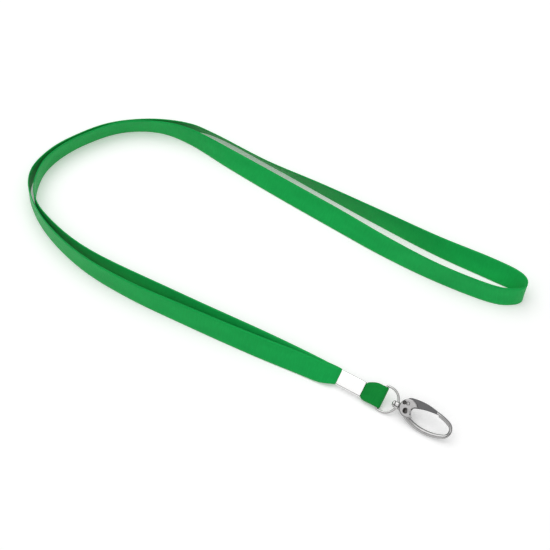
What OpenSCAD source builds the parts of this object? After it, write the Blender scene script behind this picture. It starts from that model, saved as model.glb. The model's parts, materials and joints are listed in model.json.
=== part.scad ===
// Ribbon lanyard with a folded metal crimp, a swivelling D-shaped eye and an oval
// spring-gate hook. It lies on a surface: the ribbon stands on its edge and the
// metal parts rest on their low side. X runs along the metal parts to the tip of
// the hook, Z is up, and the origin is under the middle of the metal parts.

/* [Ribbon] */
// Width of the neck ribbon
ribbon_w = 10; // [8:0.5:12]
// Thickness of the ribbon
ribbon_t = 0.6; // [0.4:0.05:0.8]
// Width of the short ribbon loop that carries the eye
loop_w = 9.6; // [7:0.1:11]

/* [Crimp] */
// Length of the crimp along the ribbon
crimp_len = 12; // [9:0.5:16]
// Width of the crimp across the ribbon
crimp_w = 7.2; // [6:0.2:9.6]
// Sheet thickness of the crimp
crimp_wall = 0.6; // [0.4:0.05:0.8]
// How far the crimp lies off the axis of the hook, towards the hook's low side
crimp_low = 0.8; // [0:0.1:1.2]
// Distance from the mouth of the crimp to the bar of the eye
loop_reach = 8.6; // [6:0.2:14]

/* [Eye] */
// Wire diameter of the eye
eye_wire = 1.1; // [0.9:0.1:1.5]
// Distance from the bar of the eye to the middle of its boss
eye_len = 7.6; // [6.5:0.1:9.5]
// Outer diameter of the boss that the hook turns in
boss_d = 3.4; // [3:0.1:4]
// Length of the boss along the hook's axis
boss_len = 1.8; // [1.4:0.1:2.4]

/* [Swivel pin] */
// Diameter of the stem of the swivel pin
stem_d = 1.5; // [1.2:0.1:1.8]
// Diameter of the head of the swivel pin
pin_head_d = 3; // [2.4:0.1:3.6]

/* [Hook] */
// Overall width of the oval of the hook
hook_w = 11.6; // [10:0.2:14]
// Length of the oval of the hook, wire included
oval_len = 22.4; // [20:0.2:28]
// Diameter of the bar where it leaves the head
root_d = 2.6; // [2.2:0.1:3]
// Diameter of the bar along the spine
spine_d = 2.2; // [1.8:0.1:2.5]
// Diameter of the bar round the bow at the tip
bow_d = 1.5; // [1.2:0.1:1.7]
// Diameter of the bar at the nose, where the gate closes
nose_d = 1.8; // [1.5:0.1:2.2]
// Radius of the bow at the tip, to the middle of the bar
bow_r = 3.2; // [2.6:0.1:4]
// Radius of the head's outline
head_r = 4.1; // [3.8:0.1:4.6]
// Thickness of the head
head_t = 3.6; // [3.4:0.1:4.4]
// Turn of the metal parts about their own axis as they lie
roll = 36; // [0:1:50]

/* [Gate] */
// Thickness of the gate
gate_t = 2.2; // [1.8:0.1:2.6]
// Diameter of the gate's hinge pin
gate_pin_d = 1.2; // [1:0.1:1.4]
// Wire diameter of the gate spring
spring_wire = 0.25; // [0.2:0.05:0.3]

/* [Fits] */
// Radial clearance of the turning fits
run_fit = 0.05; // [0.02:0.01:0.1]
// Gap between faces that pass each other
face_gap = 0.12; // [0.1:0.01:0.2]
// Gap between the ribbon and what it passes through
ribbon_gap = 0.1; // [0.05:0.01:0.2]

/* [Hidden] */
$fn = 64;
EPS = 0.01;

// places along X
hw_len = 54;
crimp_x = -hw_len / 2;
mouth_x = crimp_x + crimp_len;
butt_x = crimp_x + crimp_len / 2;
bar_x = mouth_x + loop_reach;
eye_r = loop_w / 2 + 2 * ribbon_gap + eye_wire / 2;
boss_x = bar_x + eye_len;
boss_in = boss_x - boss_len / 2;
boss_out = boss_x + boss_len / 2;
head_x = boss_out + face_gap;
stem_in_head = 2;

// the oval of the hook: two end arcs and two side arcs, to the middle of the bar
half_len = (oval_len - bow_d) / 2;
half_w = (hook_w - spine_d) / 2;
end_gap = half_len - bow_r;
side_r = (end_gap * end_gap + half_w * half_w - bow_r * bow_r) / (2 * (half_w - bow_r));
arc_half = asin(end_gap / (side_r - bow_r));
head_c = [head_x + head_r, 1];
oval_x = head_x + 2.4 + oval_len / 2;

// the gate
hinge = [head_c[0] - 0.9, 2.8];
knuckle_r = 1.9;
gate_out_r = 26;
gate_out_c = [hinge[0] + 6, 6.3 - gate_out_r];
gate_in_r = 30;
gate_in_c = [oval_x + 3.6, half_w - 0.5 - gate_in_r];
lap_x = oval_x + 3.2;
lap_len = 1;
lap_v = half_w - 0.1;
gate_channel = gate_t - 0.9;
slot_t = gate_t + 2 * face_gap;
slot_r = knuckle_r + 0.4;
spring_r = gate_pin_d / 2 + 0.12 + spring_wire / 2;
coil_pitch = 1.15 * spring_wire;
spring_roof = spring_r + spring_wire / 2 + 0.06;

// heights: the low side of the hook touches the surface
axis_z = half_w * sin(roll) + spine_d / 2;
axis_y = -0.2;
crimp_y = axis_y - crimp_low * cos(roll);
crimp_z = axis_z - crimp_low * sin(roll);
layer_off = (ribbon_t + ribbon_gap / 2) / 2;

// the free ribbon: places in plan, and its lean in degrees towards the right-hand
// side of travel; it stands on its lower edge
ROUTE = [
    [-34, -2.5, 46], [-46, -4.5, 37], [-68, -7.3, 29], [-100, -10.3, 20],
    [-132, -12.5, 11], [-160, -11.1, 5], [-186, -4.1, 1], [-205, 6.7, 2],
    [-214.4, 18.3, 4], [-216.4, 32.7, 8], [-213.2, 47.7, 12], [-204, 66.1, 15],
    [-188.5, 80.3, 17], [-171, 89.3, 24], [-155, 91.9, 34], [-122, 89.9, 31],
    [-90, 88.7, 11], [-58, 87.7, -6], [-27, 87.3, -21], [0, 88.9, -37],
    [14, 88.1, -25], [19.2, 83.9, -4], [16.4, 79.1, 7], [6, 74.9, 12],
    [-20, 72.7, 15], [-48, 73.7, 26], [-77, 76.7, 38], [-109, 79.3, 36],
    [-139, 81.7, 25], [-166, 83.7, 7], [-184, 80.3, -11], [-199, 70.1, -14],
    [-208.6, 54.7, -13], [-213.6, 38.7, -9], [-212.8, 23.7, -5], [-204, 8.3, -2],
    [-188, -0.7, -1], [-158, -6.9, -7], [-110, -5.9, -20], [-68, -3.7, -31],
    [-46, -2.7, -40], [-34, -1.5, -47]];
RING_STEPS = 2;
last = len(ROUTE) - 1;

// everything metal lies along X, turned about its own axis
module laid() {
    translate([0, axis_y, axis_z]) rotate([roll, 0, 0]) children();
}

module along_x(x, len, d) {
    translate([x, 0, 0]) rotate([0, 90, 0]) cylinder(h = len, d = d);
}

module rounded_rect(w, h, r) {
    square([w - 2 * r, h], center = true);
    square([w, h - 2 * r], center = true);
    for (x = [-1, 1], y = [-1, 1])
        translate([x * (w / 2 - r), y * (h / 2 - r)]) circle(r);
}

// a bent round bar from one angle to another about a centre
module bent_bar(c, r, from, to, d) {
    translate([c[0], c[1], 0]) rotate([0, 0, from])
        rotate_extrude(angle = to - from, $fn = 96) translate([r, 0]) circle(d = d, $fn = 32);
}

// ---- the neck ribbon ----

// a smooth curve through four neighbours, at t from 0 to 1
function through(a, b, c, d, t) =
    0.5 * (2 * b + (c - a) * t + (2 * a - 5 * b + 4 * c - d) * t * t
           + (3 * b - a - 3 * c + d) * t * t * t);
function at(i) = i < 0 ? 2 * ROUTE[0] - ROUTE[1]
    : i > last ? 2 * ROUTE[last] - ROUTE[last - 1] : ROUTE[i];
function route_point(s) =
    let (i = min(floor(s), last - 1)) through(at(i - 1), at(i), at(i + 1), at(i + 2), s - i);
function heading(s) =
    let (d = route_point(min(s + 0.05, last)) - route_point(max(s - 0.05, 0)),
         n = norm([d[0], d[1]])) [d[0] / n, d[1] / n];

// the ribbon's own cross-section, across and through
edge = ribbon_t / 4;
function section(w) = [
    [-w + edge, -ribbon_t / 2], [w - edge, -ribbon_t / 2],
    [w, -ribbon_t / 2 + edge], [w, ribbon_t / 2 - edge],
    [w - edge, ribbon_t / 2], [-w + edge, ribbon_t / 2],
    [-w, ribbon_t / 2 - edge], [-w, -ribbon_t / 2 + edge]];
function placed(c, across, through_dir, w) =
    [for (p = section(w)) c + p[0] * across + p[1] * through_dir];

// a free ring stands on its lower edge; near the crimp it is lifted to the crimp's axis
function free_ring(s) =
    let (p = route_point(s), h = heading(s), side = [h[1], -h[0], 0],
         across = cos(p[2]) * [0, 0, 1] + sin(p[2]) * side,
         normal = sin(p[2]) * [0, 0, 1] - cos(p[2]) * side,
         stand = ribbon_w / 2 * cos(p[2]) + ribbon_t / 2 * abs(sin(p[2])),
         z = max(stand, crimp_z))
    placed([p[0], p[1], z], across, normal, ribbon_w / 2);

// a ring gathered at the crimp, on the upper or the lower layer; it spreads to the
// crimp's own width as soon as it is out
crimp_in_w = crimp_w - 2 * crimp_wall - ribbon_gap;
function held_ring(x, layer, w) =
    let (across = [0, cos(roll), sin(roll)], normal = [0, -sin(roll), cos(roll)])
    placed([x, crimp_y, crimp_z] + layer * layer_off * normal, across, layer * normal, w / 2);
function held_rings(layer) =
    [held_ring(butt_x, layer, crimp_in_w), held_ring(crimp_x - 0.1, layer, crimp_in_w),
     held_ring(crimp_x - 0.8, layer, crimp_w)];
function reversed(list) = [for (k = [len(list) - 1 : -1 : 0]) list[k]];

RINGS = concat(
    held_rings(1),
    [for (k = [0 : last * RING_STEPS]) free_ring(k / RING_STEPS)],
    reversed(held_rings(-1)));

// opposite sides are split along the same diagonal, so a twisting band keeps its thickness
module swept(rings) {
    sides = len(rings[0]);
    count = len(rings);
    points = [for (ring = rings, p = ring) p];
    walls = [for (i = [0 : count - 2], j = [0 : sides - 1])
        let (a = i * sides + j, b = i * sides + (j + 1) % sides)
        each (2 * j < sides ? [[a, b, a + sides], [b, b + sides, a + sides]]
                            : [[a, b, b + sides], [a, b + sides, a + sides]])];
    start_cap = [[for (j = [sides - 1 : -1 : 0]) j]];
    end_cap = [[for (j = [0 : sides - 1]) (count - 1) * sides + j]];
    polyhedron(points, concat(walls, start_cap, end_cap));
}

module neck_ribbon() {
    color("#149b41") swept(RINGS);
}

// ---- the ribbon loop round the bar of the eye ----

wrap_in = eye_wire / 2 + ribbon_gap;
wrap_out = wrap_in + ribbon_t;

// a wedge from the crimp to the bar, out to radius r at the bar and to height h in the crimp
module loop_wedge(r, h, from, w) {
    past = 0.3;
    flank = 0.92 * r;
    rotate([90, 0, 0]) linear_extrude(height = w, center = true)
        polygon([[from, h], [mouth_x, h], [bar_x + past, flank],
                 [bar_x + past, -flank], [mouth_x, -h], [from, -h]]);
    translate([bar_x, -w / 2, 0]) rotate([-90, 0, 0]) cylinder(h = w, r = r);
}

// what is cut off a side where the loop is gathered into the crimp, which lies off to
// one side by low
module loop_waist(low) {
    narrow = crimp_in_w / 2 + low;
    wide = loop_w / 2;
    polygon([[butt_x - 1, narrow], [mouth_x + 0.1, narrow],
             [mouth_x + 0.8, crimp_w / 2 + 0.9 * low], [mouth_x + 3, wide - 0.3 + 0.3 * low],
             [mouth_x + 5.4, wide + EPS], [mouth_x + 5.4, wide + 2], [butt_x - 1, wide + 2]]);
}

module hook_loop() {
    color("#0d8434") laid() difference() {
        loop_wedge(wrap_out, ribbon_t + ribbon_gap / 4, butt_x, loop_w);
        loop_wedge(wrap_in, ribbon_gap / 4, butt_x - 1, loop_w + 2);
        for (s = [0, 1]) mirror([0, s, 0]) translate([0, 0, -2 * wrap_out])
            linear_extrude(height = 4 * wrap_out) loop_waist((2 * s - 1) * crimp_low);
    }
}

// ---- the crimp: a strip folded round both layers, its ends meeting at the back ----

crimp_t = 2 * ribbon_t + 2 * crimp_wall + ribbon_gap;

module crimp_section() {
    seam = 0.3;
    difference() {
        rounded_rect(crimp_t, crimp_w, crimp_wall + 0.15);
        rounded_rect(crimp_t - 2 * crimp_wall, crimp_w - 2 * crimp_wall, 0.2);
        translate([crimp_t / 2 - crimp_wall - 0.2, -seam / 2])
            square([crimp_wall + 1, seam]);
    }
}

module crimp() {
    color("#d9d9dc") laid()
        translate([crimp_x, -crimp_low, 0]) rotate([0, 90, 0])
            linear_extrude(height = crimp_len) crimp_section();
}

// ---- the eye: a D of round wire with a bored boss at its top ----

module swivel_eye() {
    bend_x = boss_x - eye_r;
    arm = bend_x - bar_x;
    color("#c8c8cc") laid() difference() {
        union() {
            translate([bar_x, -eye_r, 0]) rotate([-90, 0, 0])
                cylinder(h = 2 * eye_r, d = eye_wire);
            for (s = [-1, 1]) translate([bar_x, s * eye_r, 0]) {
                sphere(d = eye_wire);
                rotate([0, 90, 0]) cylinder(h = arm, d = eye_wire);
            }
            bent_bar([bend_x, 0], eye_r, -90, 90, eye_wire);
            along_x(boss_in, boss_len, boss_d);
        }
        along_x(boss_in - 1, boss_len + 2, stem_d + 2 * run_fit);
    }
}

// ---- the swivel pin: a domed head inside the eye, its stem pressed into the hook ----

module swivel_pin() {
    head_h = 0.7;
    dome_r = pin_head_d * 0.55;
    face_x = boss_in - face_gap;
    color("#b9b9be") laid() {
        along_x(face_x - head_h, head_h, pin_head_d);
        intersection() {
            translate([face_x - head_h + dome_r * 0.5, 0, 0]) sphere(dome_r);
            along_x(face_x - head_h - 2, 2, pin_head_d - 0.2);
        }
        along_x(face_x - EPS, head_x + stem_in_head - face_x, stem_d);
    }
}

// ---- the hook ----

module head_solid() {
    translate([head_c[0], head_c[1], -head_t / 2]) cylinder(h = head_t, r = head_r);
    along_x(head_x, 2, boss_d);
}

// the gate swings in here, between the two cheeks of the head
module gate_slot() {
    translate([0, 0, -slot_t / 2]) linear_extrude(height = slot_t) {
        translate(hinge) circle(slot_r);
        translate([hinge[0], -1.2]) square([2 * head_r, 4 * head_r]);
        translate([hinge[0] - 1.6, hinge[1]]) square([2, 2 * head_r]);
    }
}

// four bent bars of different thickness; each thinner one starts inside a thicker one
module hook_oval() {
    nose_from = acos((lap_x - oval_x) / side_r);
    tuck_side = 0.8;
    tuck_end = 4;
    bent_bar([oval_x - end_gap, 0], bow_r, 180, 270 - arc_half, root_d);
    bent_bar([oval_x, side_r - half_w], side_r,
             -90 - arc_half - tuck_side, -90 + arc_half, spine_d);
    bent_bar([oval_x + end_gap, 0], bow_r,
             arc_half - 90 - tuck_end, 90 - arc_half + tuck_end, bow_d);
    bent_bar([oval_x, half_w - side_r], side_r, 90 - arc_half, nose_from, nose_d);
}

module hook_body() {
    throat = 2.6;
    color("#a9a9ad") laid() difference() {
        union() {
            hook_oval();
            difference() {
                head_solid();
                translate([head_x + 5.2 + throat, 0.4, -head_t])
                    cylinder(h = 2 * head_t, r = throat);
                gate_slot();
            }
        }
        // the nose is cut back to a lip that the gate closes under
        translate([lap_x - lap_len, lap_v - 2 * nose_d, -nose_d])
            cube([lap_len + face_gap, 2 * nose_d, 2 * nose_d]);
        along_x(head_x - 1, 1 + stem_in_head, stem_d);
        translate([hinge[0], hinge[1], -head_t])
            cylinder(h = 2 * head_t, d = gate_pin_d);
    }
}

module gate_outline() {
    reach = lap_x - hinge[0];
    translate(hinge) circle(knuckle_r);
    difference() {
        intersection() {
            translate(gate_out_c) circle(gate_out_r, $fn = 128);
            translate([hinge[0] + 0.4, 0]) square([reach - 0.4, 3 * knuckle_r]);
        }
        translate(gate_in_c) circle(gate_in_r, $fn = 128);
        translate([lap_x - lap_len - face_gap, lap_v - face_gap]) square(4);
    }
}

module gate() {
    color("#6f6f74") laid() difference() {
        translate([0, 0, -gate_t / 2]) linear_extrude(height = gate_t) gate_outline();
        // the back of the gate is a channel that holds the spring
        translate([hinge[0], hinge[1], -gate_channel / 2])
            linear_extrude(height = gate_channel) {
                circle(knuckle_r + EPS);
                translate([0, -knuckle_r - 1]) square([4.4, knuckle_r + 1 + spring_roof]);
            }
        translate([hinge[0], hinge[1], -gate_t])
            cylinder(h = 2 * gate_t, d = gate_pin_d + 2 * run_fit);
    }
}

module gate_pin() {
    color("#8e8e93") laid()
        translate([hinge[0], hinge[1], -head_t / 2 - 0.1])
            cylinder(h = head_t + 0.2, d = gate_pin_d);
}

// a torsion spring round the hinge pin: one leg bears on the head, the other lies along
// the inside of the gate
COIL_STEPS = 14;
coil_turns = 3;
head_leg = 1.9;
gate_leg = 3.6;
function wire_ring(c, across, through_dir) =
    [for (k = [0 : 7]) c + spring_wire / 2 * (cos(45 * k) * through_dir + sin(45 * k) * across)];
function coil_ring(k) =
    let (a = 90 - 360 * k / COIL_STEPS, z = (coil_turns / 2 - k / COIL_STEPS) * coil_pitch)
    wire_ring([spring_r * cos(a), spring_r * sin(a), z], [cos(a), sin(a), 0], [0, 0, 1]);
COIL = concat(
    [wire_ring([-head_leg, spring_r, coil_turns / 2 * coil_pitch], [0, 1, 0], [0, 0, 1])],
    [for (k = [0 : coil_turns * COIL_STEPS]) coil_ring(k)],
    [wire_ring([gate_leg, spring_r, -coil_turns / 2 * coil_pitch], [0, 1, 0], [0, 0, 1])]);

module gate_spring() {
    color("#7d7d70") laid() translate([hinge[0], hinge[1], 0]) swept(COIL);
}

neck_ribbon();
hook_loop();
crimp();
swivel_eye();
swivel_pin();
hook_body();
gate();
gate_pin();
gate_spring();
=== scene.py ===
import json
import math

import bmesh
import bpy
from bpy.props import FloatProperty, FloatVectorProperty, PointerProperty
from bpy.types import Operator, Panel, PropertyGroup
from mathutils import Matrix, Vector


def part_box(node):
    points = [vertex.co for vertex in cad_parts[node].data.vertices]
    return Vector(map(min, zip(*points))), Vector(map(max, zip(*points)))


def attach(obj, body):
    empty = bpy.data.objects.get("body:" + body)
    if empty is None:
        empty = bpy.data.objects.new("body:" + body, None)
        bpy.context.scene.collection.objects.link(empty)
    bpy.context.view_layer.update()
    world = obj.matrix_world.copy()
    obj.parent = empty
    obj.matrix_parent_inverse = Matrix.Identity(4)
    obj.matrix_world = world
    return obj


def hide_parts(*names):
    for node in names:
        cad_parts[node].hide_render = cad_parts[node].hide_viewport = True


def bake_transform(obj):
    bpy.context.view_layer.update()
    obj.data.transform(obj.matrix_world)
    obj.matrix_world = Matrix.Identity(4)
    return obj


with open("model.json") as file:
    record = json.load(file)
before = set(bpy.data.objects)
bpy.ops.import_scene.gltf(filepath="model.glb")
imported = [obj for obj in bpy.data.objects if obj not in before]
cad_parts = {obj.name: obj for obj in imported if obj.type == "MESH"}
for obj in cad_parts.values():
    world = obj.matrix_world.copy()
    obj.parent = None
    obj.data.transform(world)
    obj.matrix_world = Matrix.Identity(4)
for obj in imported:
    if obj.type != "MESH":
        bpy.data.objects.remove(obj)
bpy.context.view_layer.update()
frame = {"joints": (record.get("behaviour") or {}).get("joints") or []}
JOINTS = {j["name"]: j for j in frame["joints"]}
SWIVEL = Vector(JOINTS["hook_swivel"]["pos_m"])
BAR = Vector(JOINTS["eye_swing"]["pos_m"])
HINGE = Vector(JOINTS["gate_open"]["pos_m"])

bl_info = {
    "name": "Ribbon lanyard",
    "version": (1, 0, 0),
    "blender": (4, 5, 0),
    "location": "3D View > Sidebar > Lanyard",
    "description": "Models a ribbon lanyard with a crimp, a swivelling eye and an oval gate hook",
    "category": "Object",
}

# The ribbon's middle line: where it lies in metres, and its lean in degrees towards the
# right-hand side of travel. It stands on its lower edge.
ROUTE = [
    (-0.034, -0.0031, 46), (-0.046, -0.0045, 37), (-0.068, -0.0073, 29), (-0.1, -0.0103, 20),
    (-0.132, -0.0125, 11), (-0.16, -0.0111, 5), (-0.186, -0.0041, 1), (-0.205, 0.0067, 2),
    (-0.2144, 0.0183, 4), (-0.2164, 0.0327, 8), (-0.2132, 0.0477, 12), (-0.204, 0.0661, 15),
    (-0.1885, 0.0803, 17), (-0.171, 0.0893, 24), (-0.155, 0.0919, 34), (-0.122, 0.0899, 31),
    (-0.09, 0.0887, 11), (-0.058, 0.0877, -6), (-0.027, 0.0873, -21), (0, 0.0889, -37),
    (0.014, 0.0881, -25), (0.0192, 0.0839, -4), (0.0164, 0.0791, 7), (0.006, 0.0749, 12),
    (-0.02, 0.0727, 15), (-0.048, 0.0737, 26), (-0.077, 0.0767, 38), (-0.109, 0.0793, 36),
    (-0.139, 0.0817, 25), (-0.166, 0.0837, 7), (-0.184, 0.0803, -11), (-0.199, 0.0701, -14),
    (-0.2086, 0.0547, -13), (-0.2136, 0.0387, -9), (-0.2128, 0.0237, -5), (-0.204, 0.0083, -2),
    (-0.188, -0.0007, -1), (-0.158, -0.0069, -7), (-0.11, -0.0059, -20), (-0.068, -0.0037, -31),
    (-0.046, -0.0027, -40), (-0.034, -0.0021, -47),
]
MM = 0.001


class RibbonSettings(PropertyGroup):
    """Sizes and colours of the ribbon"""

    width: FloatProperty(name="Width", description="Width of the ribbon", default=0.01, unit="LENGTH")
    thickness: FloatProperty(
        name="Thickness", description="Thickness of the ribbon", default=0.0006, unit="LENGTH"
    )
    loop_width: FloatProperty(
        name="Loop width", description="Width of the short loop at the eye",
        default=0.0096, unit="LENGTH",
    )
    held_width: FloatProperty(
        name="Held width", description="Width of the ribbon gathered in the crimp",
        default=0.0059, unit="LENGTH",
    )
    rib: FloatProperty(
        name="Rib", description="Distance between the woven ribs", default=0.00045, unit="LENGTH"
    )
    colour: FloatVectorProperty(
        name="Colour", description="Colour of the ribbon", subtype="COLOR",
        default=(0.006, 0.42, 0.078),
    )
    # the short loop's colour is the ribbon's green darkened as painted shade
    loop_shaded_colour: FloatVectorProperty(
        name="Loop colour", description="Colour of the short loop", subtype="COLOR",
        default=(0.003, 0.27, 0.036),
    )


class MetalSettings(PropertyGroup):
    """Finish of the metal parts and how they lie"""

    roll: FloatProperty(
        name="Roll", description="Turn of the metal parts about their own axis",
        default=math.radians(36), subtype="ANGLE",
    )
    crimp_width: FloatProperty(
        name="Crimp width", description="Width of the crimp", default=0.0072, unit="LENGTH"
    )
    nickel: FloatVectorProperty(
        name="Nickel", description="Colour of the nickel plate", subtype="COLOR",
        default=(0.6, 0.595, 0.59),
    )
    # the crimp's colour is the nickel lightened as a painted highlight; its satin roughness is its own
    crimp: FloatVectorProperty(
        name="Crimp", description="Colour of the crimp's satin plate", subtype="COLOR",
        default=(0.9, 0.895, 0.89),
    )
    casting: FloatVectorProperty(
        name="Casting", description="Colour of the plated casting", subtype="COLOR",
        default=(0.44, 0.435, 0.435),
    )
    # the gate's colour is the nickel darkened as painted shade, in place of dark reflections
    gate: FloatVectorProperty(
        name="Gate", description="Colour of the gate", subtype="COLOR", default=(0.13, 0.13, 0.133)
    )
    polish: FloatProperty(
        name="Roughness", description="Roughness of the polished plate", default=0.16, min=0, max=1
    )


# ---- shaping helpers ----


def laid():
    """Local millimetres (along, across, out of the plane of the hook) to the row frame"""
    roll = bpy.context.scene.lanyard_metal.roll
    return (
        Matrix.Translation((0, SWIVEL.y, SWIVEL.z))
        @ Matrix.Rotation(roll, 4, "X")
        @ Matrix.Scale(MM, 4)
    )


def local_place(point):
    """A point of the row frame in the local millimetres"""
    return laid().inverted() @ Vector(point)


def mesh_object(name, bm):
    """A new object that holds the bmesh"""
    mesh = bpy.data.meshes.new(name)
    bm.to_mesh(mesh)
    bm.free()
    obj = bpy.data.objects.new(name, mesh)
    bpy.context.scene.collection.objects.link(obj)
    return obj


def settle(obj):
    """Makes an object's modifiers part of its mesh"""
    graph = bpy.context.evaluated_depsgraph_get()
    mesh = bpy.data.meshes.new_from_object(obj.evaluated_get(graph))
    obj.modifiers.clear()
    obj.data = mesh


def combine(obj, other, operation):
    """A boolean of two closed objects, kept in the first"""
    step = obj.modifiers.new("combine", "BOOLEAN")
    step.operation = operation
    step.object = other
    step.solver = "EXACT"
    settle(obj)
    bpy.data.objects.remove(other)


def cast(obj, voxel, passes):
    """Fuses overlapping closed shells into one skin with soft edges"""
    skin = obj.modifiers.new("skin", "REMESH")
    skin.mode = "VOXEL"
    skin.voxel_size = voxel
    soft = obj.modifiers.new("soft", "SMOOTH")
    soft.factor = 0.5
    soft.iterations = passes
    settle(obj)


def finish_piece(obj, name, body, nodes, material, place=None):
    """Puts a finished piece in the row frame and on its body"""
    if place is not None:
        obj.data.transform(place)
    obj.name = name
    obj.data.name = name
    obj.data.materials.clear()
    obj.data.materials.append(material)
    for face in obj.data.polygons:
        face.use_smooth = True
    if body:
        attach(obj, body)
    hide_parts(*nodes)
    return obj


def newest(geom):
    """The vertices and edges a spin or an extrusion ended on"""
    return [g for g in geom if isinstance(g, (bmesh.types.BMVert, bmesh.types.BMEdge))]


def verts_of(geom):
    """The vertices among mixed geometry"""
    return [g for g in geom if isinstance(g, bmesh.types.BMVert)]


def ring(bm, centre, radius, sides, heading):
    """A round section standing across its heading, an angle in the local plane"""
    place = (
        Matrix.Translation((*centre, 0))
        @ Matrix.Rotation(heading, 4, "Z")
        @ Matrix.Rotation(math.pi / 2, 4, "Y")
    )
    made = bmesh.ops.create_circle(bm, cap_ends=False, radius=radius, segments=sides, matrix=place)
    verts = made["verts"]
    return verts + [e for e in bm.edges if e.verts[0] in verts and e.verts[1] in verts]


def turn(bm, geom, centre, degrees, steps, grow=None, rise=0.0):
    """Carries a section round a centre; grow(share) gives its half thickness each way"""
    for k in range(steps):
        made = bmesh.ops.spin(
            bm, geom=geom, cent=(*centre, 0), axis=(0, 0, 1), dvec=(0, 0, rise),
            angle=math.radians(degrees / steps), steps=1,
            use_merge=False, use_normal_flip=False, use_duplicate=False,
        )
        geom = newest(made["geom_last"])
        if grow:
            now, before = grow((k + 1) / steps), grow(k / steps)
            resize(bm, verts_of(geom), centre, now[0] / before[0], now[1] / before[1])
    return geom


def resize(bm, verts, centre, along, out):
    """Scales a section about its middle: along its radius, and out of the plane"""
    middle = sum((v.co for v in verts), Vector()) / len(verts)
    angle = math.atan2(middle.y - centre[1], middle.x - centre[0])
    about = Matrix.Translation(middle) @ Matrix.Rotation(angle, 4, "Z")
    change = about @ Matrix.Diagonal((along, 1, out, 1)) @ about.inverted()
    bmesh.ops.transform(bm, matrix=change, verts=verts)


def carry(bm, geom, offset, steps=1):
    """Carries a section straight on"""
    for _ in range(steps):
        edges = [g for g in geom if isinstance(g, bmesh.types.BMEdge)]
        geom = newest(bmesh.ops.extrude_edge_only(bm, edges=edges)["geom"])
        bmesh.ops.translate(bm, vec=Vector(offset) / steps, verts=verts_of(geom))
    return geom


def close_ends(bm):
    """Caps every open rim"""
    rims = [e for e in bm.edges if e.is_boundary]
    bmesh.ops.holes_fill(bm, edges=rims, sides=0)
    bmesh.ops.recalc_face_normals(bm, faces=bm.faces)


def chain(bm, start, moves):
    """A chain of edges in the local plane: ("to", x, y) or ("round", x, y, degrees, steps)"""
    tip = bm.verts.new((start[0], start[1], 0))
    for move in moves:
        if move[0] == "to":
            made = bmesh.ops.extrude_vert_indiv(bm, verts=[tip])
            tip = made["verts"][0]
            tip.co = (move[1], move[2], 0)
        else:
            made = bmesh.ops.spin(
                bm, geom=[tip], cent=(move[1], move[2], 0), axis=(0, 0, 1), dvec=(0, 0, 0),
                angle=math.radians(move[3]), steps=move[4],
                use_merge=False, use_normal_flip=False, use_duplicate=False,
            )
            tip = verts_of(made["geom_last"])[0]
    bmesh.ops.remove_doubles(bm, verts=bm.verts, dist=1e-4)


def plate(start, moves, low, high):
    """A closed outline made into a plate between two heights"""
    bm = bmesh.new()
    chain(bm, start, moves)
    bmesh.ops.translate(bm, vec=(0, 0, low), verts=bm.verts)
    face = bmesh.ops.contextual_create(bm, geom=list(bm.edges))["faces"]
    made = bmesh.ops.extrude_face_region(bm, geom=face)
    bmesh.ops.translate(bm, vec=(0, 0, high - low), verts=verts_of(made["geom"]))
    bmesh.ops.recalc_face_normals(bm, faces=bm.faces)
    return bm


def turned(profile):
    """A profile of (along, radius) points turned about the local long axis"""
    bm = bmesh.new()
    chain(bm, profile[0], [("to", x, r) for x, r in profile[1:]])
    bmesh.ops.spin(
        bm, geom=bm.verts[:] + bm.edges[:], cent=(0, 0, 0), axis=(1, 0, 0), dvec=(0, 0, 0),
        angle=math.tau, steps=64, use_merge=True, use_normal_flip=False, use_duplicate=False,
    )
    bmesh.ops.remove_doubles(bm, verts=bm.verts, dist=1e-4)
    bmesh.ops.recalc_face_normals(bm, faces=bm.faces)
    return bm


def drum(centre, radius, low, high, round_off=0.0):
    """A round block between two heights"""
    bm = bmesh.new()
    place = Matrix.Translation((centre[0], centre[1], (low + high) / 2))
    bmesh.ops.create_cone(
        bm, cap_ends=True, cap_tris=False, segments=64, radius1=radius, radius2=radius,
        depth=high - low, matrix=place,
    )
    if round_off:
        rims = [e for e in bm.edges if abs(e.verts[0].co.z - e.verts[1].co.z) < 1e-6]
        bmesh.ops.bevel(
            bm, geom=rims, offset=round_off, offset_type="OFFSET", segments=4, profile=0.5,
            affect="EDGES", material=-1,
        )
    return bm


# ---- materials ----


def new_material(name):
    """A material with its nodes, links and main shader"""
    material = bpy.data.materials.new(name)
    material.use_nodes = True
    nodes = material.node_tree.nodes
    return material, nodes, material.node_tree.links, nodes["Principled BSDF"]


def node(nodes, kind, **values):
    """A node with its settings and the values of its inputs"""
    made = nodes.new(kind)
    for key, value in values.items():
        if key in made.inputs:
            made.inputs[key].default_value = value
        else:
            setattr(made, key, value)
    return made


def stretched_noise(nodes, links, source, scale, **values):
    """A noise drawn out along its axes; the scale is per metre"""
    mapping = nodes.new("ShaderNodeMapping")
    mapping.inputs["Scale"].default_value = scale
    noise = node(nodes, "ShaderNodeTexNoise", Scale=1.0, **values)
    links.new(source, mapping.inputs[0])
    links.new(mapping.outputs[0], noise.inputs["Vector"])
    return noise.outputs[0]


def two_tones(nodes, links, source, low, high):
    """A ramp between two stops of (position, colour)"""
    ramp = nodes.new("ShaderNodeValToRGB")
    for stop, (place, tone) in zip(ramp.color_ramp.elements, (low, high)):
        stop.position = place
        stop.color = (*tone, 1)
    links.new(source, ramp.inputs[0])
    return ramp.outputs[0]


def uneven(nodes, links, source, low, high):
    """A value that runs from low to high with its source"""
    spread = node(nodes, "ShaderNodeMapRange")
    spread.inputs["To Min"].default_value = low
    spread.inputs["To Max"].default_value = high
    links.new(source, spread.inputs["Value"])
    return spread.outputs[0]


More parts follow.
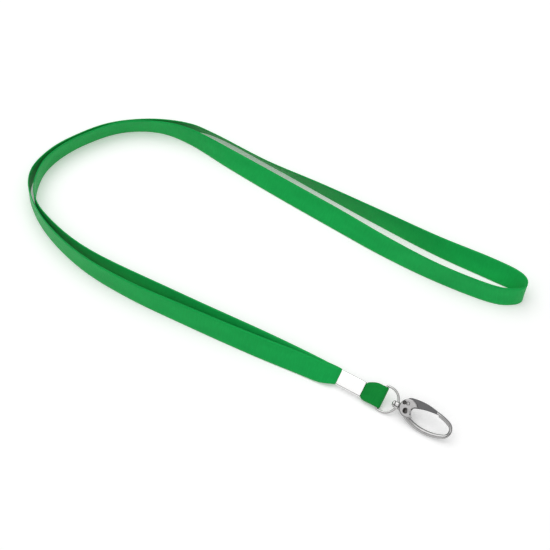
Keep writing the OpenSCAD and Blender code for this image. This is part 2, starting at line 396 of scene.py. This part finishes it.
def relief(nodes, links, source, shader, strength, depth):
    """Fine bumps from a height, in metres"""
    bump = node(nodes, "ShaderNodeBump", Strength=strength, Distance=depth)
    links.new(source, bump.inputs["Height"])
    links.new(bump.outputs[0], shader.inputs["Normal"])


def satin(name, colour, rib):
    """Woven polyester with fine cross ribs, on the cloth's own UV map in metres"""
    material, nodes, links, shader = new_material(name)
    uv = node(nodes, "ShaderNodeUVMap", uv_map="cloth")
    parts = nodes.new("ShaderNodeSeparateXYZ")
    links.new(uv.outputs[0], parts.inputs[0])

    def wave(output, pitch):
        scaled = node(nodes, "ShaderNodeMath", operation="MULTIPLY")
        scaled.inputs[1].default_value = math.tau / pitch
        sine = node(nodes, "ShaderNodeMath", operation="SINE")
        links.new(output, scaled.inputs[0])
        links.new(scaled.outputs[0], sine.inputs[0])
        return sine.outputs[0]

    def joined(operation, a, b):
        made = node(nodes, "ShaderNodeMath", operation=operation)
        for k, value in enumerate((a, b)):
            if isinstance(value, float):
                made.inputs[k].default_value = value
            else:
                links.new(value, made.inputs[k])
        return made.outputs[0]

    ribs = wave(parts.outputs["Y"], rib)
    warp = wave(parts.outputs["X"], rib * 0.8)
    weave = joined("ADD", ribs, joined("MULTIPLY", warp, 0.6))
    cloth = uv.outputs[0]
    slub = stretched_noise(nodes, links, cloth, (260, 1600, 1), Detail=3.0, Roughness=0.6)
    cloud = stretched_noise(nodes, links, cloth, (150, 45, 1), Detail=2.0)
    tone = joined("ADD", joined("MULTIPLY", slub, 0.5), joined("MULTIPLY", weave, 0.09))
    tone = joined("ADD", tone, joined("MULTIPLY", cloud, 0.5))
    dark = [c * 0.84 for c in colour]
    light = [min(1.0, c * 1.1 + 0.004) for c in colour]
    base = two_tones(nodes, links, tone, (0.3, dark), (0.72, light))
    links.new(base, shader.inputs["Base Color"])
    links.new(uneven(nodes, links, slub, 0.4, 0.54), shader.inputs["Roughness"])
    relief(nodes, links, weave, shader, 0.35, 0.00008)
    shader.inputs["Specular IOR Level"].default_value = 0.3
    shader.inputs["Specular Tint"].default_value = (0.25, 0.95, 0.45, 1)
    shader.inputs["Sheen Weight"].default_value = 0.08
    shader.inputs["Sheen Roughness"].default_value = 0.4
    shader.inputs["Sheen Tint"].default_value = (0.15, 0.9, 0.4, 1)
    return material


def plated(name, colour, roughness, grain=0.25, stain=0.12, recess_shade=False):
    """Nickel plate over metal: a little uneven, with hairline marks, and, where asked, painted shade in
    its recesses
    """
    material, nodes, links, shader = new_material(name)
    place = nodes.new("ShaderNodeTexCoord")
    cloud = node(nodes, "ShaderNodeTexNoise", Scale=420.0, Detail=4.0, Roughness=0.6)
    links.new(place.outputs["Object"], cloud.inputs["Vector"])
    hair = stretched_noise(
        nodes, links, place.outputs["Object"], (500, 6000, 6000), Detail=2.0, Roughness=0.5,
    )
    stained = [c * (1 - stain) for c in colour]
    tone = two_tones(nodes, links, cloud.outputs[0], (0.32, stained), (0.66, colour))
    if recess_shade:
        # painted shade: the recess attribute multiplies the colour towards dark grey on the floors of
        # the recesses
        painted_shade = node(nodes, "ShaderNodeMix", data_type="RGBA", blend_type="MULTIPLY")
        deep = node(nodes, "ShaderNodeAttribute", attribute_name="recess")
        links.new(deep.outputs["Fac"], painted_shade.inputs["Factor"])
        links.new(tone, painted_shade.inputs[6])
        painted_shade.inputs[7].default_value = (0.16, 0.155, 0.15, 1)
        tone = painted_shade.outputs[2]
    links.new(tone, shader.inputs["Base Color"])
    rough = uneven(nodes, links, cloud.outputs[0], roughness * 0.7, roughness * 1.5)
    links.new(rough, shader.inputs["Roughness"])
    relief(nodes, links, hair, shader, grain, 0.00001)
    shader.inputs["Metallic"].default_value = 1.0
    return material


# ---- the ribbon ----


def through(a, b, c, d, t):
    """A smooth curve from b to c that looks on to a and d"""
    return 0.5 * (
        2 * b + (c - a) * t + (2 * a - 5 * b + 4 * c - d) * t * t + (3 * b - a - 3 * c + d) * t**3
    )


def route_point(s):
    """Place and lean at s, counted in route points"""
    points = [Vector(p) for p in ROUTE]
    last = len(points) - 1
    points = [2 * points[0] - points[1], *points, 2 * points[last] - points[last - 1]]
    i = min(int(s), last - 1)
    return through(*points[i : i + 4], s - i)


def free_station(s, width, thickness):
    """Where the free ribbon is: its middle, the way across it and the way through it"""
    last = len(ROUTE) - 1
    p = route_point(s)
    way = route_point(min(s + 0.05, last)) - route_point(max(s - 0.05, 0))
    way = Vector((way.x, way.y, 0)).normalized()
    side = Vector((way.y, -way.x, 0))
    lean = math.radians(p.z)
    up = Vector((0, 0, 1))
    across = math.cos(lean) * up + math.sin(lean) * side
    normal = math.sin(lean) * up - math.cos(lean) * side
    stand = width / 2 * math.cos(lean) + thickness / 2 * abs(math.sin(lean))
    return Vector((p.x, p.y, max(stand, SWIVEL.z))), across, normal


def ease(t):
    """A soft step from 0 to 1"""
    t = max(0.0, min(1.0, t))
    return t * t * (3 - 2 * t)


def band(name, stations, thickness, columns=14):
    """A woven band through stations of (middle, across, through, width, gather)"""
    bm = bmesh.new()
    cloth = bm.loops.layers.uv.new("cloth")
    rows, lengths, run = [], [], 0.0
    for k, (middle, across, normal, width, gather) in enumerate(stations):
        if k:
            run += (middle - stations[k - 1][0]).length
        lengths.append(run)
        row = []
        for face in (1, -1):
            for c in range(columns + 1):
                u = (c / columns - 0.5) * face
                fold = gather * (1 + math.cos(3 * math.tau * u))
                edge = abs(2 * u)
                half = thickness / 2 * (1.0 if edge < 0.9 else 0.62)
                point = middle + across * (u * width) + normal * (face * half + fold)
                row.append(bm.verts.new(point))
        rows.append(row)
    wide = 2 * (columns + 1)
    for k in range(len(rows) - 1):
        for j in range(wide):
            n = (j + 1) % wide
            face = bm.faces.new((rows[k][j], rows[k][n], rows[k + 1][n], rows[k + 1][j]))
            for loop, (row, column) in zip(face.loops, ((k, j), (k, n), (k + 1, n), (k + 1, j))):
                side = column if column <= columns else wide - 1 - column
                u = (side / columns - 0.5) * stations[row][3]
                loop[cloth].uv = (u, lengths[row])
    bm.faces.new(rows[0])
    bm.faces.new(reversed(rows[-1]))
    bmesh.ops.recalc_face_normals(bm, faces=bm.faces)
    return mesh_object(name, bm), run


class LANYARD_OT_ribbon(Operator):
    """Lays the long neck ribbon on its route and gathers both ends in the crimp"""

    bl_idname = "lanyard.ribbon"
    bl_label = "Neck ribbon"

    def execute(self, context):
        sizes = context.scene.lanyard_ribbon
        width, thickness = sizes.width, sizes.thickness
        last = len(ROUTE) - 1
        crimp_low, crimp_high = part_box("crimp")
        crimp_mid = (crimp_low + crimp_high) / 2
        crimp_width = context.scene.lanyard_metal.crimp_width
        place = laid().to_3x3().normalized()
        held_across = place @ Vector((0, 1, 0))
        held_normal = place @ Vector((0, 0, 1))
        offset = (thickness + 0.00005) / 2
        free = [free_station(k / 6, width, thickness) for k in range(last * 6 + 1)]

        def gathered_width(point):
            """Narrow at the crimp, the full width a few centimetres on"""
            away = abs(point.x - crimp_low.x) + 8 * max(0.0, point.y - 0.02)
            return width - (width - crimp_width) * math.exp(-away / 0.008)

        def gathered(station, side):
            """Rings from the middle of the crimp out to a free station"""
            end, across, normal = station
            sign = math.copysign(1, side)
            held = held_normal * offset * sign
            mouth = Vector((crimp_low.x - 0.0008, crimp_mid.y, crimp_mid.z)) + held
            inside = [
                Vector((x, crimp_mid.y, crimp_mid.z)) + held
                for x in (crimp_mid.x, crimp_low.x + 0.001, crimp_low.x - 0.0001)
            ]
            rings = [(p, held_across, held_normal * sign, sizes.held_width, 0.0) for p in inside]
            steps = 10
            for k in range(steps):
                t = k / steps
                e = ease(t)
                middle = mouth.lerp(end, t) + held * math.sin(math.pi * t)
                turn_across = held_across.lerp(across, e).normalized()
                turn_normal = (held_normal * sign).lerp(normal, e)
                turn_normal = (turn_normal - turn_across * turn_normal.dot(turn_across)).normalized()
                wide = gathered_width(middle)
                fold = 0.00007 * (1 - t) * ease(6 * t)
                rings.append((middle, turn_across, turn_normal, wide, fold))
            return rings

        stations = gathered(free[0], 1)
        stations += [(*s, gathered_width(s[0]), 0.0) for s in free]
        stations += gathered(free[-1], -1)[::-1]
        obj, run = band("neck_ribbon_cloth", stations, thickness)
        cloth = satin("green_satin_ribbon", sizes.colour, sizes.rib)
        finish_piece(obj, "neck_ribbon_cloth", "strap", ["neck_ribbon"], cloth)
        return {"FINISHED"}


class LANYARD_OT_hook_loop(Operator):
    """Makes the short ribbon loop that holds the eye"""

    bl_idname = "lanyard.hook_loop"
    bl_label = "Short loop"

    def execute(self, context):
        sizes = context.scene.lanyard_ribbon
        thickness = sizes.thickness
        to_row = laid()
        spin = to_row.to_3x3().normalized()
        low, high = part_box("hook_loop")
        crimp_low, crimp_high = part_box("crimp")
        crimp_width = context.scene.lanyard_metal.crimp_width
        aside = local_place((crimp_low + crimp_high) / 2).y
        mouth = crimp_high.x / MM
        bar = BAR.x / MM
        wrap = high.x / MM - bar - thickness / MM / 2
        layer = (thickness / MM + 0.05) / 2
        steps = 16
        start = mouth + 0.1
        path = [(low.x / MM, layer), (mouth - 1, layer)]
        path += [
            (start + (bar - start) * k / steps, layer + (wrap - layer) * k / steps)
            for k in range(steps)
        ]
        turns = 16
        arc = [math.pi / 2 - math.pi * k / turns for k in range(turns + 1)]
        back = [(x, -h) for x, h in reversed(path)]
        path += [(bar + wrap * math.cos(a), wrap * math.sin(a)) for a in arc] + back
        stations = []
        for k, (x, h) in enumerate(path):
            ahead = Vector(path[min(k + 1, len(path) - 1)]) - Vector(path[max(k - 1, 0)])
            ahead.normalize()
            normal = spin @ Vector((-ahead.y, 0, ahead.x))
            out = x - mouth
            t = max(0.0, min(1.0, out / 5.4))
            free = crimp_width + (sizes.loop_width - crimp_width) * (1 - (1 - t) ** 2)
            width = sizes.held_width + (free - sizes.held_width) * ease((out - 0.1) / 0.7)
            fold = 0.00006 * ease(out / 0.8) * (1 - t)
            middle = to_row @ Vector((x, aside * (1 - ease(t)), h))
            stations.append((middle, spin @ Vector((0, 1, 0)), normal, width, fold))
        obj, _ = band("hook_loop_cloth", stations, thickness, columns=16)
        # the loop uses the same satin, with the green darkened as painted shade
        cloth = satin("green_satin_loop", sizes.loop_shaded_colour, sizes.rib)
        finish_piece(obj, "hook_loop_cloth", "strap", ["hook_loop"], cloth)
        return {"FINISHED"}


# ---- the metal parts ----


class LANYARD_OT_crimp(Operator):
    """Folds the crimp: a rounded sleeve with a seam at the back"""

    bl_idname = "lanyard.crimp"
    bl_label = "Crimp"

    def execute(self, context):
        metal = context.scene.lanyard_metal
        low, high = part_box("crimp")
        aside = local_place((low + high) / 2).y
        start, length = low.x / MM, (high.x - low.x) / MM
        half_w, half_t, r, gap = metal.crimp_width / MM / 2, 1.25, 0.7, 0.12
        sheet = 0.58
        bm = bmesh.new()
        chain(bm, (gap, -half_t), [
            ("to", half_w - r, -half_t), ("round", half_w - r, -half_t + r, 90, 6),
            ("to", half_w, half_t - r), ("round", half_w - r, half_t - r, 90, 6),
            ("to", half_w / 3, half_t), ("to", -half_w / 3, half_t), ("to", -half_w + r, half_t),
            ("round", -half_w + r, half_t - r, 90, 6),
            ("to", -half_w, -half_t + r), ("round", -half_w + r, -half_t + r, 90, 6),
            ("to", -gap, -half_t),
        ])
        steps = [0.25, 0.35, 0.6, 1.2] + [1.2] * 6 + [1.2, 0.6, 0.35, 0.25]
        scale = length / sum(steps)
        geom = bm.verts[:] + bm.edges[:]
        for step in steps:
            geom = carry(bm, geom, (0, 0, step * scale))
        for v in bm.verts:
            ends = min(v.co.z, length - v.co.z)
            nip = 1 - 0.05 * (1 - ease(ends / 1.3))
            v.co.x *= 1 - 0.4 * (1 - nip)
            v.co.y *= nip * (1 - 0.02 * (v.co.x / half_w) ** 2)
        lengthwise = Matrix(((0, 0, 1, start), (1, 0, 0, aside), (0, 1, 0, 0), (0, 0, 0, 1)))
        bmesh.ops.transform(bm, matrix=lengthwise, verts=bm.verts)
        bmesh.ops.recalc_face_normals(bm, faces=bm.faces)
        middle = Vector((0, aside, 0))
        outward = sum(
            f.normal.dot((f.calc_center_median() - middle) * Vector((0, 1, 1))) for f in bm.faces
        )
        if outward < 0:
            bmesh.ops.reverse_faces(bm, faces=bm.faces)
        bmesh.ops.solidify(bm, geom=bm.faces[:], thickness=sheet)
        bmesh.ops.recalc_face_normals(bm, faces=bm.faces)
        rims = [e for e in bm.edges if len(e.link_faces) == 2 and e.calc_face_angle() > math.radians(55)]
        bmesh.ops.bevel(
            bm, geom=rims, offset=0.11, offset_type="OFFSET", segments=3, profile=0.5,
            affect="EDGES", material=-1,
        )
        obj = mesh_object("crimp_sleeve", bm)
        # the crimp's plate colour carries a painted highlight, lighter than the nickel of the other
        # parts
        finish_piece(
            obj, "crimp_sleeve", "strap", ["crimp"],
            plated("satin_nickel_crimp", metal.crimp, 0.2, 0.25, stain=0.04), laid(),
        )
        return {"FINISHED"}


class LANYARD_OT_eye(Operator):
    """Bends the wire eye, with its bored boss"""

    bl_idname = "lanyard.eye"
    bl_label = "Eye"

    def execute(self, context):
        metal = context.scene.lanyard_metal
        bar, wire = BAR.x / MM, 0.55
        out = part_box("swivel_eye")[1].x / MM
        radius = context.scene.lanyard_ribbon.loop_width / MM / 2 + 0.2 + wire
        corner, boss_len, bore_r = 0.9, 1.8, 0.8
        boss = (out - boss_len, out)
        bend = SWIVEL.x / MM - radius
        bm = bmesh.new()
        geom = ring(bm, (bend, -radius), wire, 20, 0)
        geom = turn(bm, geom, (bend, 0), 180, 40)
        geom = carry(bm, geom, (-(bend - bar - corner), 0, 0), 2)
        geom = turn(bm, geom, (bar + corner, radius - corner), 90, 10)
        geom = carry(bm, geom, (0, -2 * (radius - corner), 0), 8)
        geom = turn(bm, geom, (bar + corner, corner - radius), 90, 10)
        carry(bm, geom, (bend - bar - corner, 0, 0), 2)
        bmesh.ops.remove_doubles(bm, verts=bm.verts, dist=1e-3)
        bmesh.ops.recalc_face_normals(bm, faces=bm.faces)
        obj = mesh_object("eye_wire", bm)
        barrel = turned([
            (boss[0], 0), (boss[0], 1.45), (boss[0] + 0.12, 1.62), (boss[0] + 0.4, 1.7),
            (boss[1] - 0.4, 1.7), (boss[1] - 0.12, 1.62), (boss[1], 1.45), (boss[1], 0),
        ])
        combine(obj, mesh_object("boss", barrel), "UNION")
        bore = turned([
            (boss[0] - 1, 0), (boss[0] - 1, bore_r), (boss[1] + 1, bore_r), (boss[1] + 1, 0),
        ])
        combine(obj, mesh_object("bore", bore), "DIFFERENCE")
        cast(obj, 0.08, 3)
        finish_piece(
            obj, "swivel_eye_wire", "eye", ["swivel_eye"],
            plated("bright_nickel_eye", metal.nickel, metal.polish, 0.15), laid(),
        )
        return {"FINISHED"}


class LANYARD_OT_pins(Operator):
    """Turns the swivel pin and the gate's hinge pin"""

    bl_idname = "lanyard.pins"
    bl_label = "Pins"

    def execute(self, context):
        metal = context.scene.lanyard_metal
        finish = plated("nickel_pins", metal.nickel, metal.polish * 0.9, 0.1)
        low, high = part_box("swivel_pin")
        tip, end = low.x / MM, high.x / MM
        face = tip + 1.52
        bm = turned([
            (tip, 0), (tip + 0.02, 0.35), (tip + 0.1, 0.72), (tip + 0.26, 1.05), (tip + 0.5, 1.31),
            (tip + 0.8, 1.46), (tip + 1.1, 1.5), (face - 0.16, 1.48), (face - 0.04, 1.4),
            (face, 1.26), (face, 0.75), (end - 0.1, 0.75), (end, 0.65), (end, 0),
        ])
        pin = mesh_object("pin", bm)
        finish_piece(pin, "swivel_pin_turned", "hook", ["swivel_pin"], finish, laid())
        hinge = local_place(HINGE)
        half = 1.88
        rivet = turned([
            (-half, 0), (-half + 0.03, 0.25), (-half + 0.12, 0.44), (-half + 0.3, 0.57),
            (-half + 0.45, 0.6), (half - 0.45, 0.6), (half - 0.3, 0.57), (half - 0.12, 0.44),
            (half - 0.03, 0.25), (half, 0),
        ])
        bmesh.ops.transform(
            rivet, verts=rivet.verts,
            matrix=Matrix.Translation((hinge.x, hinge.y, 0)) @ Matrix.Rotation(math.pi / 2, 4, "Y"),
        )
        pin = mesh_object("rivet", rivet)
        finish_piece(pin, "gate_pin_rivet", "hook", ["gate_pin"], finish, laid())
        return {"FINISHED"}


# shape of the oval of the hook in local millimetres, to the middle of the bar: two end arcs
# joined by two wider side arcs
OVAL_X = 15.82
END_GAP = 7.25
HALF_W = 4.7
BOW_R = 3.2
SIDE_R = (END_GAP**2 + HALF_W**2 - BOW_R**2) / (2 * (HALF_W - BOW_R))
SIDE_V = SIDE_R - HALF_W
ARC_HALF = math.degrees(math.asin(END_GAP / (SIDE_R - BOW_R)))
HEAD = (6.32, 1.0)
HEAD_R = 4.1
HEAD_HALF = 1.8
LAP_X = OVAL_X + 3.2
GATE_HALF = 1.1
KNUCKLE_R = 1.9
# recesses in the cheeks of the head: place, radius and depth
RECESSES = (((3.85, 2.55), 0.85, 0.42), ((5.7, -0.35), 1.2, 0.75), ((5.42, 2.8), 0.78, 0.3))


def between(*values):
    """A smooth run through values spread evenly from 0 to 1"""

    def at(t):
        place = min(t * (len(values) - 1), len(values) - 1.001)
        k = int(place)
        share = ease(place - k)
        return tuple(a + (b - a) * share for a, b in zip(values[k], values[k + 1]))

    return at


def hook_bar():
    """The tapering bar of the hook, from inside the head round to the nose"""
    bm = bmesh.new()
    centre = (OVAL_X - END_GAP, 0)
    geom = ring(bm, (centre[0] - BOW_R, 0), 1.2, 28, -math.pi / 2)
    for v in verts_of(geom):
        if abs(v.co.z) > 0.5:
            off = (v.co.x - centre[0] + BOW_R) / 0.32
            v.co.z += math.copysign(0.16, v.co.z) * math.exp(-off * off)
    root, spine, bow, nose = (1.2, 1.2), (1.06, 1.08), (0.74, 0.78), (0.9, 0.95)
    waist = (0.9, 0.92)
    geom = turn(bm, geom, centre, 90 - ARC_HALF, 12, between(root, (1.16, 1.14)))
    geom = turn(bm, geom, (OVAL_X, SIDE_V), 2 * ARC_HALF, 40, between((1.16, 1.14), spine, waist))
    geom = turn(bm, geom, (OVAL_X + END_GAP, 0), 180 - 2 * ARC_HALF, 24, between(waist, bow, bow, waist))
    stop = math.degrees(math.acos((LAP_X - 1 - OVAL_X) / SIDE_R)) - 90 + ARC_HALF
    turn(bm, geom, (OVAL_X, -SIDE_V), stop, 14, between(waist, nose))
    close_ends(bm)
    return mesh_object("bar", bm)


class LANYARD_OT_hook(Operator):
    """Casts the hook: head with cheeks and pockets, spine, bow and nose"""

    bl_idname = "lanyard.hook"
    bl_label = "Hook"

    def execute(self, context):
        metal = context.scene.lanyard_metal
        hinge = local_place(HINGE)
        head = mesh_object("head", drum(HEAD, HEAD_R, -HEAD_HALF, HEAD_HALF, 0.55))
        neck = turned([(2.22, 0), (2.22, 1.45), (2.36, 1.65), (2.6, 1.7), (4.4, 1.7), (4.4, 0)])
        combine(head, mesh_object("neck", neck), "UNION")
        combine(head, mesh_object("throat", drum((10.02, 0.4), 2.6, -4, 4)), "DIFFERENCE")
        slot = plate(
            (hinge.x - 2.2, hinge.y), [
                ("round", hinge.x, hinge.y, 100, 16), ("to", hinge.x + 1.2, -1.2),
                ("to", hinge.x + 9, -1.2), ("to", hinge.x + 9, 12), ("to", hinge.x - 2.2, 12),
                ("to", hinge.x - 2.2, hinge.y),
            ], -1.2, 1.2,
        )
        combine(head, mesh_object("slot", slot), "DIFFERENCE")
        for side in (-1, 1):
            for place, radius, depth in RECESSES:
                cheek = side * HEAD_HALF
                cut = drum(place, radius, cheek - depth, cheek + depth, depth * 0.4)
                combine(head, mesh_object("recess", cut), "DIFFERENCE")
        obj = hook_bar()
        lip = plate(
            (LAP_X - 1.4, 0), [("to", LAP_X + 0.12, 0), ("to", LAP_X + 0.12, 4.52),
                               ("to", LAP_X - 1.4, 4.52), ("to", LAP_X - 1.4, 0)], -3, 3,
        )
        combine(obj, mesh_object("lip", lip), "DIFFERENCE")
        combine(obj, head, "UNION")
        cast(obj, 0.1, 3)
        # marks the floors of the two deeper recesses, where the casting's colour is darkened as painted
        # shade
        deep = obj.data.attributes.new("recess", "FLOAT", "POINT")
        for v in obj.data.vertices:
            for place, radius, depth in RECESSES[:2]:
                reach = math.hypot(v.co.x - place[0], v.co.y - place[1])
                if reach < radius + 0.1 and abs(v.co.z) > 0.9:
                    deep.data[v.index].value = ease((HEAD_HALF - 0.04 - abs(v.co.z)) / 0.3)
        finish_piece(
            obj, "hook_casting", "hook", ["hook_body"],
            plated("plated_hook_casting", metal.casting, metal.polish * 0.9, 0.2, recess_shade=True), laid(),
        )
        return {"FINISHED"}


def gate_moves(hinge):
    """Moves round the gate's outline: inside, tip, back and knuckle"""
    out_r, in_r = 26.0, 30.0
    out_c = (hinge.x + 6, 6.3 - out_r)
    in_c = (OVAL_X + 3.6, HALF_W - 0.5 - in_r)
    inner_x, back_x, tip = hinge.x + 1.75, hinge.x + 0.4, LAP_X - 1.12

    def height(c, r, x):
        return c[1] + math.sqrt(r * r - (x - c[0]) ** 2)

    def sweep(c, r, x0, x1):
        return math.degrees(math.acos((x1 - c[0]) / r)) - math.degrees(math.acos((x0 - c[0]) / r))

    return [
        ("to", hinge.x + 1.2, hinge.y - 1.47), ("to", inner_x, height(in_c, in_r, inner_x)),
        ("round", *in_c, sweep(in_c, in_r, inner_x, LAP_X), 24),
        ("to", LAP_X, 4.42), ("to", tip, 4.42), ("to", tip, height(out_c, out_r, tip)),
        ("round", *out_c, sweep(out_c, out_r, tip, back_x), 28),
        ("to", hinge.x - 0.6, hinge.y + 2.4), ("to", hinge.x - 1.5, hinge.y + 1.3),
        ("to", hinge.x - KNUCKLE_R, hinge.y), ("to", hinge.x - 1.5, hinge.y - 1.15),
        ("to", hinge.x - 0.6, hinge.y - 1.8), ("to", back_x, hinge.y - 1.86),
    ]


class LANYARD_OT_gate(Operator):
    """Shapes the gate lever, bored for its pin and hollowed for its spring"""

    bl_idname = "lanyard.gate"
    bl_label = "Gate"

    def execute(self, context):
        metal = context.scene.lanyard_metal
        hinge = local_place(HINGE)
        bm = plate((hinge.x + 0.4, hinge.y - 1.86), gate_moves(hinge), -GATE_HALF, GATE_HALF)
        rims = [e for e in bm.edges if e.calc_face_angle(0) > math.radians(50)]
        bmesh.ops.bevel(
            bm, geom=rims, offset=0.34, offset_type="OFFSET", segments=3, profile=0.5,
            affect="EDGES", clamp_overlap=True, material=-1,
        )
        obj = mesh_object("lever", bm)
        channel = plate(
            (hinge.x - 3, hinge.y - 3), [
                ("to", hinge.x + 4.4, hinge.y - 3), ("to", hinge.x + 4.4, hinge.y + 1.0),
                ("to", hinge.x - 3, hinge.y + 1.0), ("to", hinge.x - 3, hinge.y - 3),
            ], -0.65, 0.65,
        )
        combine(obj, mesh_object("channel", channel), "DIFFERENCE")
        bore = drum((hinge.x, hinge.y), 0.65, -3, 3)
        combine(obj, mesh_object("bore", bore), "DIFFERENCE")
        cast(obj, 0.08, 2)
        # the gate's near-black colour is painted shade over the same nickel plate
        finish_piece(
            obj, "gate_lever", "gate", ["gate"],
            plated("plated_gate", metal.gate, metal.polish * 1.1, 0.2), laid(),
        )
        return {"FINISHED"}


class LANYARD_OT_spring(Operator):
    """Winds the gate's spring with a short leg and a long leg"""

    bl_idname = "lanyard.spring"
    bl_label = "Gate spring"

    def execute(self, context):
        hinge = local_place(HINGE)
        radius, turns, steps, pitch = 0.845, 3, 20, 0.2875
        wire, head_leg, gate_leg = 0.125, 1.9, 3.6
        bm = bmesh.new()
        geom = ring(bm, (-head_leg, radius), wire, 12, 0)
        bmesh.ops.translate(bm, vec=(0, 0, turns / 2 * pitch), verts=bm.verts)
        geom = carry(bm, geom, (head_leg, 0, 0), 3)
        geom = turn(bm, geom, (0, 0), -360 * turns, steps * turns, rise=-pitch / steps)
        carry(bm, geom, (gate_leg, 0, 0), 8)
        close_ends(bm)
        obj = mesh_object("gate_spring_wire", bm)
        finish_piece(
            obj, "gate_spring_wire", None, ["gate_spring"],
            plated("spring_wire", (0.45, 0.45, 0.46), 0.3, 0.4),
            laid() @ Matrix.Translation((hinge.x, hinge.y, 0)),
        )
        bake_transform(obj)
        return {"FINISHED"}


# ---- the stage ----


def aim(obj, target):
    """Turns a camera or a lamp towards a target"""
    obj.rotation_mode = "QUATERNION"
    obj.rotation_quaternion = (Vector(target) - obj.location).to_track_quat("-Z", "Y")


def add_camera():
    """The camera, above and in front of the lanyard"""
    camera = bpy.data.objects.new("camera", bpy.data.cameras.new("camera"))
    bpy.context.scene.collection.objects.link(camera)
    turn_round, height, distance = math.radians(33.1), math.radians(50), 0.6
    target = Vector((-0.08313, 0.03447, 0))
    back = Vector((
        math.sin(turn_round) * math.cos(height), -math.cos(turn_round) * math.cos(height),
        math.sin(height),
    ))
    camera.location = target + back * distance
    aim(camera, target)
    camera.data.lens = 85
    camera.data.sensor_width = 36
    camera.data.clip_start = 0.01
    bpy.context.scene.camera = camera


def add_softbox(name, place, target, size, power):
    """A large soft lamp"""
    data = bpy.data.lights.new(name, "AREA")
    data.shape = "RECTANGLE"
    data.size, data.size_y = size
    data.energy = power
    lamp = bpy.data.objects.new(name, data)
    bpy.context.scene.collection.objects.link(lamp)
    lamp.location = place
    aim(lamp, target)


class LANYARD_OT_stage(Operator):
    """Sets the pale floor, the soft light and the surroundings"""

    bl_idname = "lanyard.stage"
    bl_label = "Stage"

    def execute(self, context):
        bm = bmesh.new()
        bmesh.ops.create_grid(bm, x_segments=1, y_segments=1, size=4)
        floor = mesh_object("floor", bm)
        pale, _, _, shader = new_material("pale_floor")
        shader.inputs["Base Color"].default_value = (0.93, 0.93, 0.93, 1)
        shader.inputs["Emission Color"].default_value = (1, 1, 1, 1)
        shader.inputs["Emission Strength"].default_value = 0.2
        shader.inputs["Roughness"].default_value = 0.7
        shader.inputs["Specular IOR Level"].default_value = 0.2
        floor.data.materials.append(pale)
        world = bpy.data.worlds.new("surroundings")
        context.scene.world = world
        world.use_nodes = True
        nodes, links = world.node_tree.nodes, world.node_tree.links
        way = nodes.new("ShaderNodeTexCoord")
        parts = nodes.new("ShaderNodeSeparateXYZ")
        ramp = nodes.new("ShaderNodeValToRGB")
        links.new(way.outputs["Generated"], parts.inputs[0])
        links.new(parts.outputs["Z"], ramp.inputs[0])
        stops = ramp.color_ramp.elements
        stops[0].position, stops[0].color = 0.0, (0.35, 0.35, 0.35, 1)
        stops[1].position, stops[1].color = 1.0, (1, 1, 1, 1)
        for place, tone in ((0.28, 0.12), (0.45, 0.35), (0.62, 1.0)):
            stops.new(place).color = (tone, tone, tone, 1)
        glow = node(nodes, "ShaderNodeVectorMath", operation="DOT_PRODUCT")
        glow.inputs[1].default_value = Vector((-0.35, -0.56, 0.75)).normalized()
        links.new(way.outputs["Generated"], glow.inputs[0])
        shade = node(nodes, "ShaderNodeMapRange", interpolation_type="SMOOTHSTEP")
        shade.inputs["From Min"].default_value = 0.85
        shade.inputs["From Max"].default_value = 0.96
        shade.inputs["To Min"].default_value = 0.72
        shade.inputs["To Max"].default_value = 1.2
        links.new(glow.outputs["Value"], shade.inputs["Value"])
        links.new(ramp.outputs[0], nodes["Background"].inputs["Color"])
        links.new(shade.outputs[0], nodes["Background"].inputs["Strength"])
        middle = (-0.09, 0.04, 0)
        add_softbox("key", (-0.6, 0.35, 1.0), middle, (1.1, 1.1), 4.2)
        add_softbox("fill", (0.75, -0.6, 0.8), middle, (1.2, 0.6), 2.0)
        context.scene.view_settings.view_transform = "Standard"
        return {"FINISHED"}


class LANYARD_PT_panel(Panel):
    """Lists the lanyard's sizes, finishes and pieces"""

    bl_idname = "LANYARD_PT_panel"
    bl_label = "Lanyard"
    bl_space_type = "VIEW_3D"
    bl_region_type = "UI"
    bl_category = "Lanyard"

    def draw(self, context):
        for group in (context.scene.lanyard_ribbon, context.scene.lanyard_metal):
            box = self.layout.box()
            for key in group.bl_rna.properties.keys():
                if key not in ("rna_type", "name"):
                    box.prop(group, key)
        for operator in PIECES:
            self.layout.operator(operator.bl_idname)


PIECES = (
    LANYARD_OT_ribbon, LANYARD_OT_hook_loop, LANYARD_OT_crimp, LANYARD_OT_eye,
    LANYARD_OT_pins, LANYARD_OT_hook, LANYARD_OT_gate, LANYARD_OT_spring, LANYARD_OT_stage,
)
CLASSES = (RibbonSettings, MetalSettings, *PIECES, LANYARD_PT_panel)


def register():
    for item in CLASSES:
        bpy.utils.register_class(item)
    bpy.types.Scene.lanyard_ribbon = PointerProperty(type=RibbonSettings)
    bpy.types.Scene.lanyard_metal = PointerProperty(type=MetalSettings)


def unregister():
    del bpy.types.Scene.lanyard_metal
    del bpy.types.Scene.lanyard_ribbon
    for item in reversed(CLASSES):
        bpy.utils.unregister_class(item)


def main():
    register()
    add_camera()
    bpy.ops.lanyard.ribbon()
    bpy.ops.lanyard.hook_loop()
    bpy.ops.lanyard.crimp()
    bpy.ops.lanyard.eye()
    bpy.ops.lanyard.pins()
    bpy.ops.lanyard.hook()
    bpy.ops.lanyard.gate()
    bpy.ops.lanyard.spring()
    bpy.ops.lanyard.stage()


if __name__ == "__main__":
    main()
